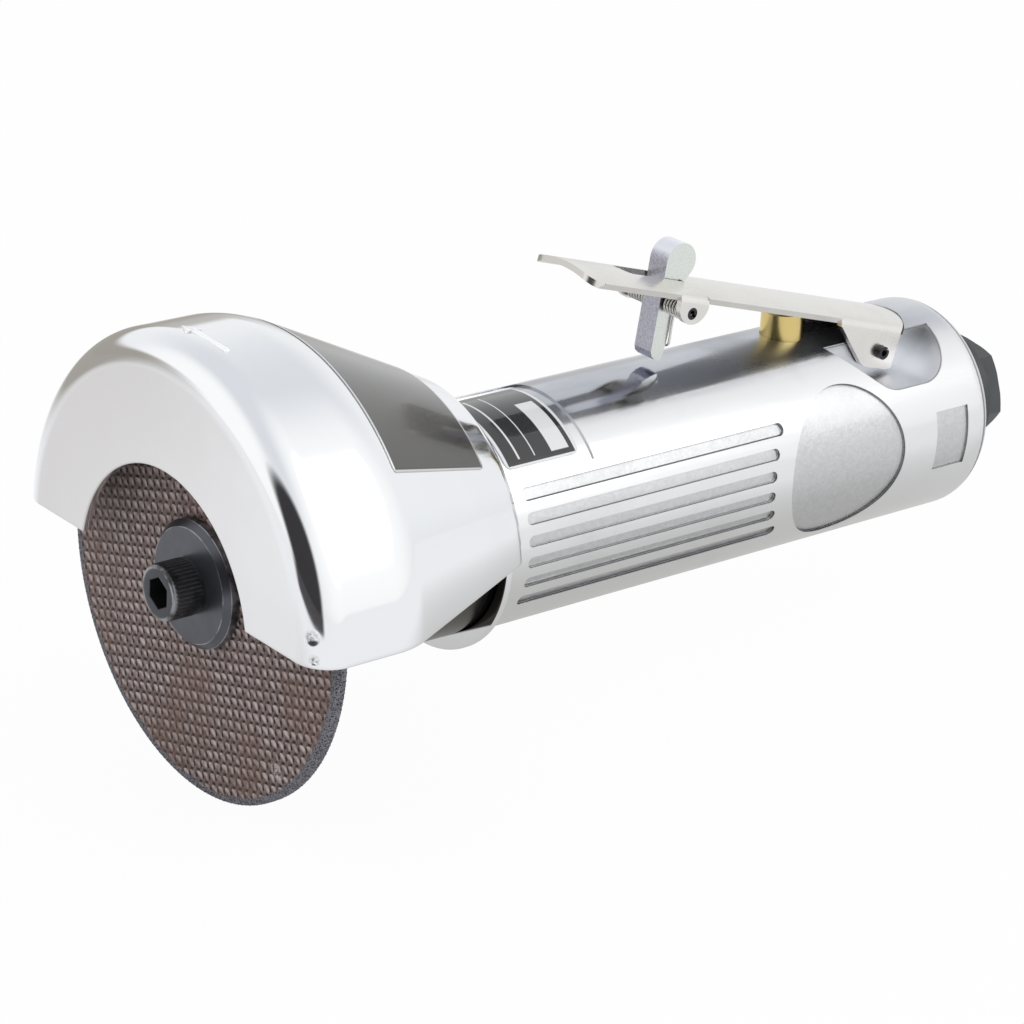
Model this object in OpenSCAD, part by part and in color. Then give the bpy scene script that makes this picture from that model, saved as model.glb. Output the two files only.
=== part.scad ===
// Pneumatic cut off tool, three inch wheel, as an assembly of its real pieces.
// X runs along the tool, wheel at low X, the air inlet's thread begins at X = 0. Z is up, lever on top.
// Stations are written from the wheel's front face and moved to the inlet by tool_frame().

/* [Wheel and spindle] */
// wheel diameter, three inches
wheel_d = 76.2; // [70:0.1:78]
// wheel thickness
wheel_t = 2; // [1:0.1:3]
// wheel arbor hole
arbor_d = 9.5; // [9:0.1:10.5]
// diameter of both wheel flanges
flange_d = 22.2; // [20:0.1:26]
// thickness of the outer flange
outer_flange_t = 2.6; // [2:0.1:3.5]
// thickness of the inner flange's disc
inner_flange_t = 4; // [3:0.1:5]
// thread diameter of the wheel screw
screw_d = 6; // [5.5:0.1:6.5]
// head diameter of the wheel screw
screw_head_d = 10; // [9:0.1:11]
// head height of the wheel screw
screw_head_l = 6; // [5:0.1:6]
// hex key size of the wheel screw
screw_key = 5; // [4:0.5:5.5]
// spindle diameter in the front bearing
spindle_d = 10; // [9.8:0.1:10.2]

/* [Guard] */
// outer radius of the guard's band
guard_r = 43.5; // [42:0.1:48]
// sheet thickness of the guard
guard_t = 1.6; // [1.2:0.1:2]
// distance of the guard's front lip ahead of the wheel
guard_lip = 8; // [7.5:0.1:12]
// radius of the edge between lip and band
guard_edge_r = 6; // [4:0.1:8]
// length of the straight band behind the wheel face
guard_band = 8; // [6:0.1:9]
// half angle of the guard's cone
guard_cone = 25.6; // [24.8:0.1:26.2]
// height of the guard's lower edge over the axis
guard_cut_z = 2.2; // [0:0.1:6]
// radius of the arch in the lip
arch_r = 24.2; // [20:0.1:26]

/* [Housing] */
// diameter of the housing's body
body_d = 40.4; // [40:0.1:42]
// rounding of the housing's rear edge
body_round = 4; // [2:0.1:4]
// distance from the wheel's front face to the inlet's mouth
wheel_to_inlet = 180; // [179:0.1:190]
// number of grip grooves on each side
groove_count = 6; // [2:1:6]
// distance from groove to groove
groove_pitch = 3.9; // [3.2:0.1:4]
// width of a grip groove
groove_w = 2.1; // [1.2:0.1:2.4]
// depth of a grip groove
groove_depth = 0.6; // [0.3:0.1:0.9]
// radius of the bare round field on each side
field_r = 14.3; // [10:0.1:14.6]

/* [Lever and catch] */
// slope of the released lever over the tool's axis
lever_slope = 16; // [15.5:0.1:16.5]
// radius of the lever's crowned top
crown_r = 25.4; // [25:0.1:30]
// half width of the lever over its ears
lever_half_w = 8.75; // [8.5:0.05:9]
// sheet thickness of the lever
lever_t = 1.1; // [1:0.1:1.2]
// width of the lock off catch
catch_w = 4.5; // [3.5:0.1:4.8]
// radius of the catch's round knob
knob_r = 3.45; // [3:0.05:3.5]
// wire diameter of the catch spring
catch_wire = 0.45; // [0.35:0.05:0.45]
// whole curls on each side of the catch
catch_curls = 4; // [3:1:4]

/* [Valve and inlet] */
// diameter of the brass valve stem
stem_d = 8.2; // [7.9:0.1:8.4]
// wire diameter of the valve spring
valve_wire = 0.8; // [0.6:0.1:1]
// curls of the valve spring
valve_curls = 6; // [4:1:7]
// wrench size of the inlet bushing
inlet_af = 19; // [17:0.5:20]
// inlet thread's bore, quarter inch pipe thread
inlet_bore_d = 11.4; // [11:0.1:12]
// outer diameter of the exhaust deflector
deflector_d = 24.4; // [24:0.1:26]

/* [Hidden] */
$fn = 96;

// named clearances
play = 0.05;        // running fit of a shaft or pin, on the radius
seat = 0.02;        // gap between two seated pieces of one body
air = 0.3;          // free gap between pieces that move past each other
eps = 0.01;

// stations along the tool, from the wheel's front face
hub_end = 18;
nut_front = 32.5;
nose_front = 36;
nut_end = 45.6;
ring_front = 46.9;
ring_back = ring_front + guard_t;
body_front = ring_back + seat;
plate_front_end = 45.5;
cylinder_end = 86.5;
plate_rear_end = cylinder_end + 8.5;
bore_back = plate_rear_end + 1.1;
thread_mouth = wheel_to_inlet - 1.2;
thread_length = 10.8;
body_back = wheel_to_inlet - 12.5;
stem_x = body_back - 38.7;
field_x = body_back - 38.1;
bushing_front = body_back - 19.5;
boss_back = body_back - 4;
chamber_front = body_back - 6.3;
deflector_front = body_back - 2.1;
deflector_back = body_back + 7.1;

// radii of the body and of what lies in it
body_r = body_d / 2;
bore_r = 15.2;
nose_r = bore_r + 1.8;
nut_r = nose_r + 2.5;
ring_r = nut_r + 2.85;
chamber_r = body_r - 4.4;
boss_r = 10.4;
bushing_r = 8;
rotor_r = 11.3;
rotor_drop = 1;
cylinder_bore_r = rotor_r + rotor_drop + 0.1;

// air ways: the feed over the axis, the two exhaust ways under it
feed_z = bore_r - 2;
feed_r = 1.6;
exhaust_y = 10.5;
exhaust_z = -10;
exhaust_r = 2.6;
dowel_z = 0.9 - bore_r;
dowel_r = 0.7;

// ball bearings: width, bore radius, outer radius, ball radius
front_bearing = [8, spindle_d / 2, 13, 2.38];
rear_bearing = [7, 4, 11, 1.98];
ball_count = 7;

// lever and catch, lever frame: origin on the lever's pin, low x towards the wheel
lever_pin_x = body_back - 21.3;
lever_pin_z = body_r - 4.1;
pin_r = 1.25;
catch_pin_r = 1.1;
lever_crest = 6.6;
lever_front = -76.3;
lever_corner_r = 2.9;
lever_rear_r = 11.4;
lever_rear_x = 8.3;
catch_x = -51.06;
catch_z = 2.11;
ear_front = [-54.5, -47.5];
ear_rear = [-12.3, 4.4];
fold_r = 2;
boss_half_w = 7.2;

// valve heights, and the narrow passage over the seat
seat_z = 6.2;
passage_r = 3;
land_z = body_r - 2.6;
dome_r = 6;
stem_gap = 0.15;
chamber_low = 8.2 - body_r;

module tool_frame() translate([-thread_mouth, 0, 0]) children();

// a cylinder along X between two stations
module rod(x0, x1, r, y = 0, z = 0)
    translate([x0, y, z]) rotate([0, 90, 0]) cylinder(r = r, h = x1 - x0);

// a cylinder along Y, centred on the tool's middle plane
module cross_rod(x, z, r, half) translate([x, half, z]) rotate([90, 0, 0]) cylinder(r = r, h = 2 * half);

module pipe(x0, x1, ro, ri) difference() {
    rod(x0, x1, ro);
    rod(x0 - 1, x1 + 1, ri);
}

// a profile drawn as radius and station, turned about the tool's axis
module turned(from = 0, sweep = 360)
    rotate([0, 90, 0]) rotate([0, 0, from]) rotate_extrude(angle = sweep) children();

// an o ring about the tool's axis, or about Z when upright
module o_ring(r, wire) rotate_extrude() translate([r, 0]) circle(r = wire, $fn = 48);

// section of a groove that holds such a ring and opens outwards
module ring_groove(r, wire) translate([r, 0]) {
    circle(r = wire, $fn = 48);
    translate([0, -wire]) square([3 * wire, 2 * wire]);
}

// a span of a ring, used as a cutter or a label: stations, radii and angles from +Y over the top
module ring_span(x0, x1, ri, ro, a0, a1)
    rotate([a0, 0, 0]) rotate([0, 90, 0]) rotate([0, 0, 90]) rotate_extrude(angle = a1 - a0)
        translate([ri, x0]) square([ro - ri, x1 - x0]);

module lever_frame() translate([lever_pin_x, 0, lever_pin_z]) rotate([0, lever_slope, 0]) children();

module catch_frame() lever_frame() translate([catch_x, 0, catch_z]) children();

// a shape drawn in the plane of x and z, given a width along Y
module across(half) rotate([90, 0, 0]) translate([0, 0, -half]) linear_extrude(height = 2 * half) children();

// points of an arc, from angle a to angle b
function arc(cx, cy, r, a, b, n = 8) =
    [for (i = [0 : n]) let (t = a + (b - a) * i / n) [cx + r * cos(t), cy + r * sin(t)]];

// a round wire along points, as one closed tube
function unit(v) = v / norm(v);
function tangents(p) = [for (i = [0 : len(p) - 1]) unit(p[min(i + 1, len(p) - 1)] - p[max(i - 1, 0)])];
function carry(n, t) = unit(n - (n * t) * t);
function normals(t, i = 0, n = [0.3, 0.2, 0.9]) =
    i >= len(t) ? [] : let (m = carry(n, t[i])) concat([m], normals(t, i + 1, m));
module wire(p, r, sides = 6) {
    t = tangents(p);
    n = normals(t);
    pts = [for (i = [0 : len(p) - 1]) for (k = [0 : sides - 1])
        p[i] + r * (cos(360 * k / sides) * n[i] + sin(360 * k / sides) * cross(t[i], n[i]))];
    last = len(p) - 1;
    polyhedron(points = pts, faces = concat(
        [[for (k = [sides - 1 : -1 : 0]) k]],
        [[for (k = [0 : sides - 1]) last * sides + k]],
        [for (i = [0 : last - 1]) for (k = [0 : sides - 1])
            let (a = i * sides + k, b = i * sides + (k + 1) % sides)
            each [[a, b, b + sides], [a, b + sides, a + sides]]]));
}

// least gap of a wire to itself, between points further apart along it than the skip
function self_gap(p, r, skip) = min([for (i = [0 : len(p) - 1]) for (j = [i + skip : 1 : len(p) - 1])
    norm(p[i] - p[j])]) - 2 * r;

// the housing: a turned body with a narrower nose in front
module housing_blank() {
    turned() union() {
        translate([0, body_front]) square([body_r, body_back - body_round - body_front]);
        translate([0, body_back - body_round - 1]) square([body_r - body_round, body_round + 1]);
        translate([body_r - body_round, body_back - body_round]) circle(r = body_round);
    }
    rod(nose_front, body_front + 1, nose_r);
}

module grooves(side) {
    for (i = [0 : groove_count - 1]) {
        z = 0.4 + (i - (groove_count - 1) / 2) * groove_pitch;
        x0 = 53.5 + groove_w / 2;
        x1 = field_x - sqrt(pow(field_r + 4.1, 2) - z * z) - groove_w / 2;
        translate([0, side * body_r, z]) {
            cross_rod(x0, 0, groove_w / 2, body_r - 5);
            cross_rod(x1, 0, groove_w / 2, body_r - 5);
            translate([x0, -body_r + 5, -groove_w / 2]) cube([x1 - x0, 2 * body_r - 10, groove_w]);
        }
    }
}

// shallow fields in the skin: the floor stays round with the body
module skin_fields() {
    intersection() {
        pipe(50, 120, body_r + 1, body_r - groove_depth);
        union() {
            grooves(1);
            grooves(-1);
        }
    }
    intersection() {
        pipe(field_x - field_r - 1, field_x + field_r + 1, body_r + 1, body_r - 0.5);
        cross_rod(field_x, 0.2, field_r, body_r + 1);
    }
    // a bare shallow square near the back
    intersection() {
        pipe(body_back - 16, body_back - 6, body_r + 1, body_r - 0.4);
        translate([body_back - 15.5, -body_r - 2, -5.2]) cube([8.3, body_r, 11.5]);
    }
    ring_span(51.4, 70.8, body_r - 0.35, body_r + 1, 70, 141);
}

// room for the lever's ears: a smooth scoop on each side, down to the wall of the pin's boss
module ear_pockets() for (side = [0, 1]) mirror([0, side, 0])
    translate([lever_pin_x, boss_half_w, lever_pin_z]) mirror([0, 1, 0]) rotate([90, 0, 0]) linear_extrude(height = 20) {
        polygon([[-16.25, 4.9], [-5.89, -3.22], [-1.6, -4.7], [4.8, -4.7], [4.8, 4.9]]);
        translate([-1.6, 2.25]) circle(r = 6.95);
        translate([4.8, 3.9]) circle(r = 8.6);
    }

// bed for the lever's round rear end
lever_edge_z = lever_crest - crown_r + (crown_r - lever_t) * cos(7 * crown_step());
module lever_bed() lever_frame() translate([lever_rear_x - lever_rear_r, 0, lever_edge_z - 0.7])
    cylinder(r = lever_rear_r + 0.6, h = 8);

module valve_bores() translate([stem_x, 0, 0]) {
    translate([0, 0, seat_z - 1]) cylinder(r = passage_r, h = land_z - seat_z);
    translate([0, 0, land_z - 2.6]) cylinder(r = stem_d / 2 + play, h = 20);
    translate([0, 0, chamber_low - 1]) cylinder(r = 5.5, h = seat_z - chamber_low + 1);
    translate([0, 0, -body_r - 2]) cylinder(r = plug_r + seat, h = body_r + 2 + chamber_low);
}

module motor_housing() color("silver") tool_frame() difference() {
    housing_blank();
    skin_fields();
    ear_pockets();
    lever_bed();
    valve_bores();
    rod(nose_front - 1, bore_back, bore_r);
    // air way from the valve to the motor
    rod(bore_back - 1, stem_x, feed_r, 0, feed_z);
    // air way from the inlet to the valve
    rod(stem_x, bushing_front, 4.5);
    rod(bushing_front - 1.5, body_back, bushing_r + seat);
    // exhaust ways past the valve
    for (s = [-1, 1]) rod(bore_back - 1, chamber_front + 1, exhaust_r, s * exhaust_y, exhaust_z);
    // exhaust chamber behind, around the inlet's boss
    difference() {
        rod(chamber_front, body_back + 1, chamber_r);
        rod(chamber_front - 1, boss_back, boss_r);
    }
    cross_rod(lever_pin_x, lever_pin_z, pin_r + seat, 12);
}

// the guard: lip, rounded edge, band, cone and clamped ring, all of one sheet
cone_start = [guard_band + 14 * sin(guard_cone), guard_r - 14 * (1 - cos(guard_cone))];
function cone_r(x) = cone_start[1] - (x - cone_start[0]) * tan(guard_cone);
neck_bend = 5;
neck_reach = neck_bend * tan((90 - guard_cone) / 2);

// the guard's section, moved inwards by d, as radius and station
function guard_side(d) = concat(
    [[0, -guard_lip + d]],
    [for (p = arc(guard_r - guard_edge_r, -guard_lip + guard_edge_r, guard_edge_r - d, 270, 360)) p],
    [for (p = arc(guard_r - 14, guard_band, 14 - d, 0, guard_cone, 4)) p],
    [for (p = arc(cone_r(ring_back) - neck_reach, ring_back - neck_bend, neck_bend - d, guard_cone, 90, 6)) p],
    [[0, ring_back - d]]);

module guard() color("gainsboro") tool_frame() difference() {
    turned() difference() {
        polygon(guard_side(0));
        polygon(guard_side(guard_t));
    }
    // everything under the cut goes, except the clamped ring
    translate([-30, -60, -60]) cube([30 + ring_front, 120, 60 + guard_cut_z]);
    difference() {
        translate([ring_front - 1, -60, -60]) cube([guard_t + 2, 120, 60 + guard_cut_z]);
        rod(0, 60, ring_r);
    }
    rod(-guard_lip - 1, -guard_lip + guard_t + 1, arch_r, 0, -2.8);
    rod(ring_front - 5, ring_back + 5, nose_r + 0.1);
}

module guard_label() color("dimgray") tool_frame() rotate([90 - 49, 0, 0]) rotate([0, 90, 0])
    rotate([0, 0, 90]) rotate_extrude(angle = 98)
        polygon([for (p = [[14.6, 0.06], [40.6, 0.06], [40.6, 0.2], [14.6, 0.2]]) [cone_r(p[0]) + p[1], p[0]]]);

module nameplate() color("black") tool_frame()
    ring_span(52.4, 68.4, body_r - 0.33, body_r - 0.2, 76, 136);

// front of the motor: the nut with its washer clamps the guard's ring against the body
module clamp_nut() color("dimgray") tool_frame() difference() {
    rod(nut_front, nut_end, nut_r);
    rod(nut_front - 1, nut_end, 7.8);
    rod(nose_front - seat, nut_end + 1, nose_r + seat);
    for (a = [0 : 60 : 300]) rotate([a, 0, 0]) translate([nut_front - 1, -2, nut_r - 2.2]) cube([3.5, 4, 5]);
}

module lock_washer() color("black") tool_frame()
    pipe(nut_end + seat, ring_front - seat, nut_r - 0.4, nose_r + 0.1);

module plate_holes(x0, x1) {
    rod(x0, x1, feed_r, 0, feed_z);
    for (s = [-1, 1]) rod(x0, x1, exhaust_r, s * exhaust_y, exhaust_z);
}

module front_end_plate() color("silver") tool_frame() difference() {
    rod(nose_front + seat, plate_front_end, bore_r - seat);
    rod(nose_front - 1, nose_front + front_bearing[0] + 0.1, front_bearing[2] + seat);
    rod(nose_front - 1, plate_front_end + 1, front_bearing[1] + 1.5);
    rod(plate_front_end - 1.2, plate_front_end + 1, dowel_r + seat, 0, dowel_z);
}

module motor_cylinder() color("lightgray") tool_frame() difference() {
    rod(plate_front_end + seat, cylinder_end - seat, bore_r - seat);
    rod(plate_front_end - 1, cylinder_end + 1, cylinder_bore_r, 0, -rotor_drop);
    // feed along the top with its ports, exhaust ports with the grooves that carry it back
    rod(plate_front_end + 9, cylinder_end + 1, 1.1, 0, feed_z + 0.1);
    for (i = [0 : 5]) translate([plate_front_end + 10.5 + i * 5.5, 0, 0]) cylinder(r = 0.8, h = feed_z);
    for (s = [-1, 1]) {
        for (i = [0 : 5]) translate([plate_front_end + 6.5 + i * 5.5, 0, 0]) rotate([-s * 133.6, 0, 0])
            cylinder(r = 1.4, h = 30);
        rod(plate_front_end + 4.5, cylinder_end + 1, 2.2, s * 11.6, -11);
    }
    rod(plate_front_end - 1, plate_front_end + 4, dowel_r + seat, 0, dowel_z);
    rod(cylinder_end - 4, cylinder_end + 1, dowel_r + seat, 0, dowel_z);
}

module rear_end_plate() color("silver") tool_frame() difference() {
    rod(cylinder_end + seat, plate_rear_end, bore_r - seat);
    rod(plate_rear_end - rear_bearing[0], plate_rear_end + 1, rear_bearing[2] + seat);
    rod(cylinder_end - 1, plate_rear_end + 1, rear_bearing[1] + 1.5);
    plate_holes(cylinder_end - 1, plate_rear_end + 1);
    rod(cylinder_end - 1, cylinder_end + 4, dowel_r + seat, 0, dowel_z);
}

// dowels that keep the cylinder's air holes in line with the end plates
module alignment_pins() color("gray") tool_frame() {
    rod(plate_front_end - 1.1, plate_front_end + 3.9, dowel_r, 0, dowel_z);
    rod(cylinder_end - 3.9, cylinder_end + 3.9, dowel_r, 0, dowel_z);
}

module motor_gasket() color("darkolivegreen") tool_frame() difference() {
    pipe(plate_rear_end + seat, bore_back - seat, bore_r - 0.1, rear_bearing[2] - 0.4);
    plate_holes(plate_rear_end - 1, bore_back + 1);
}

// what turns: rotor with its blades, inner rings, flanges, wheel and screw
blade_count = 5;
blade_depth = 5.8;
// boxes about the rotor's axis: width, reach under and over the rotor's skin, stations
module blade_boxes(w, under, over, x0, x1) for (i = [0 : blade_count - 1])
    rotate([36 + i * 360 / blade_count, 0, 0]) translate([x0, -w / 2, rotor_r - under])
        cube([x1 - x0, w, under + over]);

module rotor() color("gray") tool_frame() difference() {
    union() {
        rod(plate_front_end + air, cylinder_end - air, rotor_r);
        rod(hub_end + seat, nose_front + 0.1, 7);
        rod(wheel_t + 2, plate_front_end + 1, spindle_d / 2);
        rod(cylinder_end - 1, plate_rear_end - 0.2, rear_bearing[1]);
    }
    blade_boxes(2.1, blade_depth + 0.2, 1, plate_front_end - 1, cylinder_end + 1);
    rod(-1, 26, screw_d / 2 + seat);
}

module rotor_blades() color("saddlebrown") tool_frame()
    blade_boxes(1.9, blade_depth, -0.12, plate_front_end + air, cylinder_end - air);

// pieces of a ball bearing: front station and the bearing's sizes
function pitch_r(b) = (b[1] + b[2]) / 2;
module raceway(x0, b) translate([x0 + b[0] / 2, 0, 0]) rotate([0, 90, 0]) o_ring(pitch_r(b), b[3] + play);
module outer_ring(x0, b) color("lightsteelblue") tool_frame() difference() {
    pipe(x0 + seat, x0 + b[0] - seat, b[2], pitch_r(b) + 0.6 * b[3]);
    raceway(x0, b);
}
module inner_ring(x0, b) color("lightsteelblue") tool_frame() difference() {
    pipe(x0 + seat, x0 + b[0] - seat, pitch_r(b) - 0.6 * b[3], b[1] + seat);
    raceway(x0, b);
}
module balls(x0, b, r) for (i = [0 : ball_count - 1]) rotate([i * 360 / ball_count, 0, 0])
    translate([x0 + b[0] / 2, 0, pitch_r(b)]) sphere(r = r, $fn = 48);
module cage(x0, b) color("goldenrod") tool_frame() difference() {
    pipe(x0 + b[0] / 2 - 1.3 * b[3], x0 + b[0] / 2 + 1.3 * b[3], pitch_r(b) + 0.4, pitch_r(b) - 0.4);
    balls(x0, b, b[3] + play);
}

front_bearing_x = nose_front + 0.1;
rear_bearing_x = plate_rear_end - rear_bearing[0];
module front_bearing_outer_ring() outer_ring(front_bearing_x, front_bearing);
module front_bearing_inner_ring() inner_ring(front_bearing_x, front_bearing);
module front_bearing_balls() color("white") tool_frame()
    balls(front_bearing_x, front_bearing, front_bearing[3]);
module front_bearing_cage() cage(front_bearing_x, front_bearing);
module rear_bearing_outer_ring() outer_ring(rear_bearing_x, rear_bearing);
module rear_bearing_inner_ring() inner_ring(rear_bearing_x, rear_bearing);
module rear_bearing_balls() color("white") tool_frame()
    balls(rear_bearing_x, rear_bearing, rear_bearing[3]);
module rear_bearing_cage() cage(rear_bearing_x, rear_bearing);

module inner_flange() color("dimgray") tool_frame() difference() {
    union() {
        rod(wheel_t + seat, wheel_t + inner_flange_t, flange_d / 2);
        rod(0.4, wheel_t + 1, arbor_d / 2 - seat);
        rod(wheel_t + 1, hub_end, 7.5);
    }
    rod(-1, hub_end, screw_d / 2 + 0.1);
    rod(wheel_t + 1.9, hub_end + 1, spindle_d / 2 + seat);
    // flats for the holding wrench
    for (s = [0, 1]) mirror([0, s, 0]) translate([10, 6.5, -10]) cube([6, 5, 20]);
}

module cutting_wheel() color("sienna") tool_frame() pipe(0, wheel_t, wheel_d / 2, arbor_d / 2);

module outer_flange() color("dimgray") tool_frame() turned() difference() {
    polygon([[0, -seat], [flange_d / 2, -seat], [flange_d / 2, -outer_flange_t + 1.1],
        [flange_d / 2 - 1.1, -outer_flange_t], [0, -outer_flange_t]]);
    translate([0, -10]) square([screw_d / 2 + 0.1, 20]);
}

module wheel_screw() color("black") tool_frame() difference() {
    union() {
        turned() polygon([[0, -outer_flange_t - seat], [screw_head_d / 2, -outer_flange_t - seat],
            [screw_head_d / 2, -outer_flange_t - screw_head_l + 0.5],
            [screw_head_d / 2 - 0.5, -outer_flange_t - screw_head_l], [0, -outer_flange_t - screw_head_l]]);
        rod(-outer_flange_t - 1, 20, screw_d / 2);
    }
    translate([-outer_flange_t - screw_head_l - 1, 0, 0]) rotate([0, 90, 0])
        cylinder(r = screw_key / sqrt(3), h = 4.2, $fn = 6);
}

// the lever's crown is drawn in strips, so that plate and folded ears share their faces
crown_z = lever_crest - crown_r;
function fold_centre() =
    [lever_half_w - fold_r, crown_z + sqrt(pow(crown_r - fold_r, 2) - pow(lever_half_w - fold_r, 2))];
function crown_step() = asin((lever_half_w - fold_r) / (crown_r - fold_r)) / 6;
function crown(r, n) = [for (i = [-n : n]) [r * sin(i * crown_step()), crown_z + r * cos(i * crown_step())]];
function backwards(p) = [for (i = [len(p) - 1 : -1 : 0]) p[i]];

// section of the plate: seven strips to each side
module plate_section() polygon(concat(crown(crown_r, 7), backwards(crown(crown_r - lever_t, 7))));

// section where the plate folds down into its ears
function folded(r, rf, w) = concat(
    [[-w, -9]],
    [for (p = arc(fold_centre()[0], fold_centre()[1], rf, 0, 90 - 6 * crown_step(), 6)) [-p[0], p[1]]],
    [for (p = crown(r, 5)) p],
    backwards(arc(fold_centre()[0], fold_centre()[1], rf, 0, 90 - 6 * crown_step(), 6)),
    [[w, -9]]);
module ear_section() difference() {
    polygon(folded(crown_r, fold_r, lever_half_w));
    translate([0, -eps]) polygon(folded(crown_r - lever_t, fold_r - lever_t, lever_half_w - lever_t));
}

// a section in the plane of y and z, carried along the lever
module along(x0, x1) translate([x0, 0, 0]) rotate([90, 0, 90]) linear_extrude(height = x1 - x0) children();

module lever_plan() intersection() {
    union() {
        translate([lever_front + lever_corner_r, -10]) square([90, 20]);
        translate([lever_front, -8.4 + lever_corner_r]) square([6, 16.8 - 2 * lever_corner_r]);
        for (s = [-1, 1]) translate([lever_front + lever_corner_r, s * (8.4 - lever_corner_r)])
            circle(r = lever_corner_r);
    }
    union() {
        translate([lever_rear_x - lever_rear_r, 0]) circle(r = lever_rear_r);
        translate([lever_front - 1, -20]) square([-lever_front - 1, 40]);
    }
}

module ear_outlines() {
    translate([(ear_front[0] + ear_front[1]) / 2, 3.6]) circle(r = (ear_front[1] - ear_front[0]) / 2);
    translate([ear_front[0], 3.6]) square([ear_front[1] - ear_front[0], 5]);
    translate([ear_rear[0], 3.6]) square([lever_rear_x + 1 - ear_rear[0], 5]);
    polygon([[ear_rear[0], 5], [-12.05, 3.6], [-9.2, 1.27], [-4.75, -2.32], [-2.27, -3.2], [2.6, -3.2],
        [5.55, 0.3], [ear_rear[1], 5]]);
    translate([-2.27, 0.8]) circle(r = 4);
    translate([2.6, -0.2]) circle(r = 3);
}

module throttle_lever() color("lightgray") tool_frame() lever_frame() difference() {
    union() {
        intersection() {
            along(lever_front - 1, lever_rear_x + 1) plate_section();
            translate([0, 0, -5]) linear_extrude(height = 20) difference() {
                lever_plan();
                for (s = [0, 1]) mirror([0, s]) {
                    translate([ear_front[0], lever_half_w - fold_r])
                        square([ear_front[1] - ear_front[0], 9]);
                    translate([ear_rear[0], lever_half_w - fold_r]) square([30, 9]);
                }
            }
        }
        intersection() {
            union() {
                along(ear_front[0], ear_front[1]) ear_section();
                along(ear_rear[0], lever_rear_x + 1) ear_section();
            }
            across(20) ear_outlines();
            translate([0, 0, -5]) linear_extrude(height = 20) lever_plan();
        }
    }
    cross_rod(0, 0, pin_r + play, 12);
    cross_rod(catch_x, catch_z, catch_pin_r + seat, 12);
    catch_slot(catch_x - 0.8 - knob_reach, catch_x + 1.5, catch_w + 0.7, 1.6);
}

// slot for the catch, long enough for its knob to swing down into it
knob_z = 7.68;
knob_reach = knob_z + knob_r;
module catch_slot(x0, x1, w, r) translate([0, 0, lever_crest - 4]) linear_extrude(height = 8) {
    for (s = [-1, 1]) translate([x0 + r, s * (w / 2 - r)]) circle(r = r);
    translate([x0 + r, -w / 2]) square([x1 - x0 - r, w]);
    translate([x0, -w / 2 + r]) square([r + 1, w - 2 * r]);
}

// a split spring pin along Y
module roll_pin(r, half) difference() {
    cross_rod(0, 0, r, half);
    cross_rod(0, 0, r * 0.52, half + 1);
    translate([-0.25, -half - 1, 0]) cube([0.5, 2 * half + 2, r + 1]);
}

module lever_pin() color("black") tool_frame() translate([lever_pin_x, 0, lever_pin_z]) rotate([0, 60, 0])
    roll_pin(pin_r, 9.9);

module catch_pin() color("dimgray") tool_frame() catch_frame() rotate([0, 120, 0])
    roll_pin(catch_pin_r, lever_half_w - 0.1);

// outline of the catch about its own pin, in the lever's frame: knob with a flat step that rests
// on the lever behind the slot, leg, and a foot rounded on the side that swings past the housing
step_z = lever_crest - catch_z + 0.06;
module catch_shape() {
    polygon([[-3.12, 7.3], [-0.75, -9.2], [-0.3, -10], [0.6, -10.5], [1.6, -10.65], [2.1, -10.4], [2.28, -8.5],
        [2.12, -3.03], [1.9, -1], [1.45, 0.94], [0.8, step_z], [2.5, step_z], [3.45, 6.3], [2, knob_z]]);
    intersection() {
        translate([0.3, knob_z]) circle(r = knob_r);
        translate([-5, step_z]) square([10, 10]);
    }
}

module lock_off_catch() color("lightgray") tool_frame() catch_frame() difference() {
    across(catch_w / 2) catch_shape();
    cross_rod(0, 0, catch_pin_r + play, 10);
}

// double torsion spring: arm, curls, bridge behind the catch's leg, curls, arm
coil_r = 1.55;
coil_y0 = catch_w / 2 + 0.4;
coil_y1 = lever_half_w - lever_t - 0.45;
function coil_point(a, y) = [coil_r * cos(a), y, coil_r * sin(a)];
// from the bridge side outwards: the wire climbs the leg's side, winds out and ends in a rearward arm
half_spring = concat(
    [[2.6, 0, -7.6], [2.6, 1.4, -7.6], [2.6, 2.2, -7.5], [2.55, coil_y0, -7], [2.1, coil_y0, -3.9]],
    [for (i = [0 : catch_curls * 8 + 2])
        coil_point(i * 45, coil_y0 + (coil_y1 - coil_y0) * i / (catch_curls * 8 + 2))],
    [[-1.4, coil_y1, 1.75], [-3.2, coil_y1, 1.95], [-5.4, coil_y1, 1.95]]);
function flip(p) = [for (i = [len(p) - 1 : -1 : 1]) [p[i][0], -p[i][1], p[i][2]]];
spring_path = concat(flip(half_spring), half_spring);

module catch_spring() color("gray") tool_frame() catch_frame() wire(spring_path, catch_wire / 2);

// the valve: stem with its ring and washer, spring and plug, upright in the body
stem_r = stem_d / 2;
// centre of the stem's domed top, a small gap under the released lever
dome_z = lever_pin_z + (lever_crest - lever_t - dome_r - stem_gap + (lever_pin_x - stem_x) * sin(lever_slope))
    / cos(lever_slope);
stem_ring_z = land_z + 1.3;
stem_ring_wire = 0.45;
stem_ring_r = stem_r + play - seat - stem_ring_wire;
disc_z = 3;
disc_r = 4.6;
module valve_stem() color("gold") tool_frame() translate([stem_x, 0, 0]) rotate_extrude() difference() {
    union() {
        intersection() {
            translate([0, land_z]) square([stem_r, 12]);
            translate([0, dome_z]) circle(r = dome_r);
        }
        translate([0, land_z]) square([stem_r, 3]);
        translate([0, disc_z]) square([2, land_z - disc_z + 1]);
        translate([0, disc_z]) square([disc_r, 1.6]);
        translate([0, disc_z - 1.8]) square([2.2, 2]);
    }
    translate([0, stem_ring_z]) ring_groove(stem_ring_r, stem_ring_wire + seat);
}

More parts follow.
